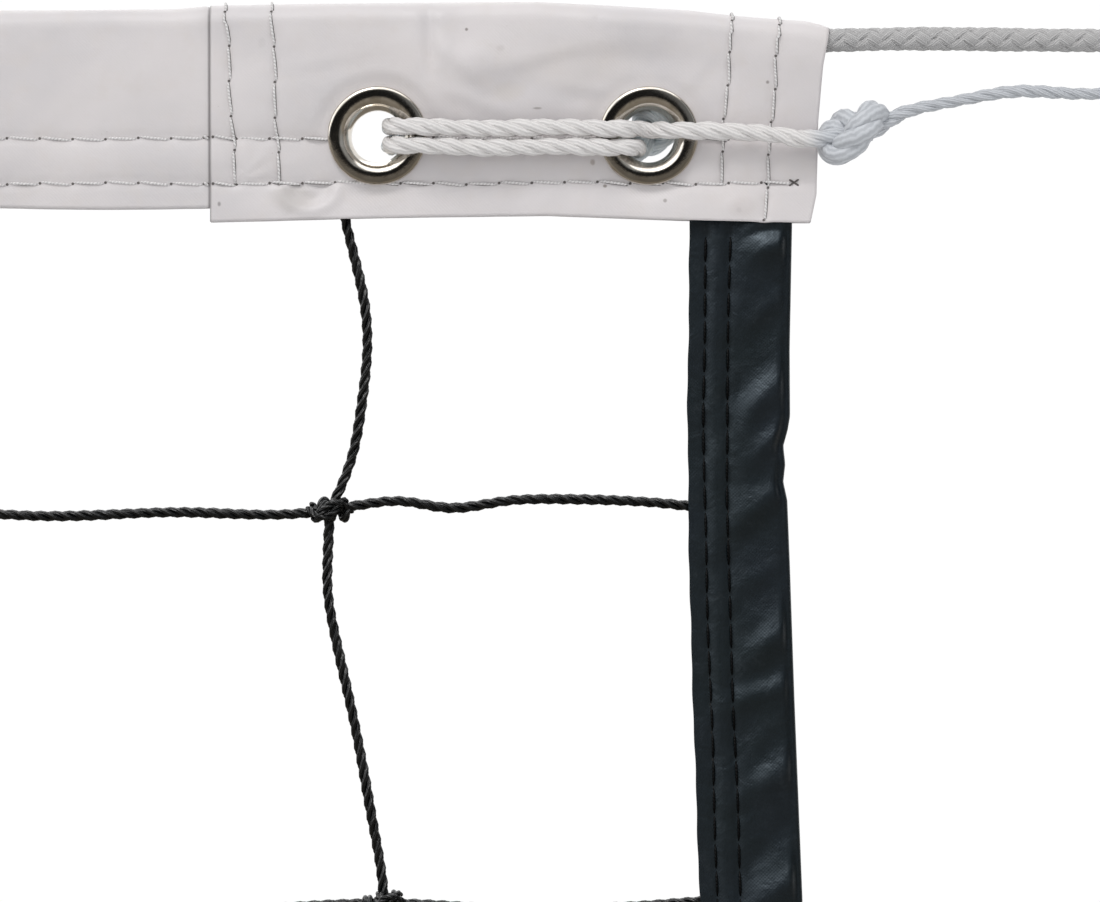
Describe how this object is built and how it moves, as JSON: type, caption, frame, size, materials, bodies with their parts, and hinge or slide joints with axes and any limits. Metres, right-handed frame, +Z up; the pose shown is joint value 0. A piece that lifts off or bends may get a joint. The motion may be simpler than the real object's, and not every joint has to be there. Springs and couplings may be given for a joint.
{
  "type": "court net",
  "caption": "Hanging square-mesh court net with a folded white vinyl headband over a rope, laced corner eyelets and black vinyl edge tapes.",
  "frame": {"origin": "middle of the lower tape's bottom edge, on the netting's mid-plane", "axes": "+Z up, +X along the net to the right seen from the front, -Y out of the front face"},
  "size_m": [10.1228, 0.0339, 1.0164],
  "materials": {
    "white_vinyl": "semi-gloss coated fabric, softly creased",
    "white_thread": "twisted sewing thread",
    "black_vinyl": "semi-gloss coated fabric, weave showing through",
    "black_thread": "twisted sewing thread",
    "black_twine": "three-strand twisted twine, slightly glossy",
    "white_rope": "braided rope",
    "white_cord": "twisted cord",
    "nickel": "polished nickel plate",
    "black_rope": "braided rope"
  },
  "bodies": {
    "band": {"headband": "white_vinyl", "end_sleeve_left": "white_vinyl", "end_sleeve_right": "white_vinyl", "band_stitching": "white_thread", "sleeve_stitching": "white_thread", "top_twine": "black_twine", "side_tape_tabs": "black_vinyl", "eyelet_left_inner": "nickel", "eyelet_left_outer": "nickel", "eyelet_right_inner": "nickel", "eyelet_right_outer": "nickel", "washer_left_inner": "nickel", "washer_left_outer": "nickel", "washer_right_inner": "nickel", "washer_right_outer": "nickel", "tie_lacing_left": "white_cord", "tie_lacing_right": "white_cord", "tie_knot_left": "white_cord", "tie_knot_right": "white_cord", "tie_end_knot_left": "white_cord", "tie_end_knot_right": "white_cord"},
    "headline": {"headline_rope": "white_rope"},
    "headline_end_left": {"headline_tail_left": "white_rope"},
    "headline_end_right": {"headline_tail_right": "white_rope"},
    "tie_end_left": {"tie_tail_left": "white_cord"},
    "tie_end_right": {"tie_tail_right": "white_cord"},
    "lower_line": {"lower_rope": "black_rope"},
    "lower_end_left": {"lower_tail_left": "black_rope"},
    "lower_end_right": {"lower_tail_right": "black_rope"},
    "net_1": {"mesh_rows_1": "black_twine", "mesh_columns_1": "black_twine", "mesh_knots_1": "black_twine", "side_tape_left_1": "black_vinyl", "side_tape_right_1": "black_vinyl", "side_stitching_1": "black_thread"},
    "net_2": {"mesh_rows_2": "black_twine", "mesh_columns_2": "black_twine", "mesh_knots_2": "black_twine", "side_tape_left_2": "black_vinyl", "side_tape_right_2": "black_vinyl", "side_stitching_2": "black_thread"},
    "net_3": {"mesh_rows_3": "black_twine", "mesh_columns_3": "black_twine", "mesh_knots_3": "black_twine", "side_tape_left_3": "black_vinyl", "side_tape_right_3": "black_vinyl", "side_stitching_3": "black_thread"},
    "net_4": {"mesh_rows_4": "black_twine", "mesh_columns_4": "black_twine", "mesh_knots_4": "black_twine", "side_tape_left_4": "black_vinyl", "side_tape_right_4": "black_vinyl", "side_stitching_4": "black_thread", "lower_tape": "black_vinyl", "lower_stitching": "black_thread", "lower_eyelet_left": "nickel", "lower_eyelet_right": "nickel", "lower_washer_left": "nickel", "lower_washer_right": "nickel"}
  },
  "joints": [
    {"name": "fold_1", "type": "hinge", "parent": "band", "child": "net_1", "pos_m": [0, 0, 0.9608], "axis": [1, 0, 0], "range_deg": [-40, 40]},
    {"name": "fold_2", "type": "hinge", "parent": "net_1", "child": "net_2", "pos_m": [0, 0, 0.8905], "axis": [1, 0, 0], "range_deg": [-40, 40]},
    {"name": "fold_3", "type": "hinge", "parent": "net_2", "child": "net_3", "pos_m": [0, 0, 0.598], "axis": [1, 0, 0], "range_deg": [-40, 40]},
    {"name": "fold_4", "type": "hinge", "parent": "net_3", "child": "net_4", "pos_m": [0, 0, 0.3055], "axis": [1, 0, 0], "range_deg": [-40, 40]},
    {"name": "headline_slide", "type": "slide", "parent": "band", "child": "headline", "axis": [1, 0, 0], "range_m": [-0.05, 0.05]},
    {"name": "headline_right_swing", "type": "hinge", "parent": "headline", "child": "headline_end_right", "pos_m": [4.819, 0, 1.008], "axis": [0, 1, 0], "range_deg": [-45, 45]},
    {"name": "opposite_headline_left_swing", "type": "hinge", "parent": "headline", "child": "headline_end_left", "pos_m": [-4.819, 0, 1.008], "axis": [0, 1, 0], "range_deg": [-45, 45]},
    {"name": "corner_tie_right_swing", "type": "hinge", "parent": "band", "child": "tie_end_right", "pos_m": [4.7726, -0.0079, 0.988], "axis": [0, 1, 0], "range_deg": [-60, 60]},
    {"name": "opposite_tie_left_swing", "type": "hinge", "parent": "band", "child": "tie_end_left", "pos_m": [-4.7726, -0.0079, 0.988], "axis": [0, 1, 0], "range_deg": [-60, 60]},
    {"name": "lower_rope_slide", "type": "slide", "parent": "net_4", "child": "lower_line", "axis": [1, 0, 0], "range_m": [-0.05, 0.05]},
    {"name": "lower_rope_right_swing", "type": "hinge", "parent": "lower_line", "child": "lower_end_right", "pos_m": [4.81, 0, 0.003], "axis": [0, 0, 1], "range_deg": [-60, 60]},
    {"name": "lower_rope_left_swing", "type": "hinge", "parent": "lower_line", "child": "lower_end_left", "pos_m": [-4.81, 0, 0.003], "axis": [0, 0, 1], "range_deg": [-60, 60]}
  ]
}
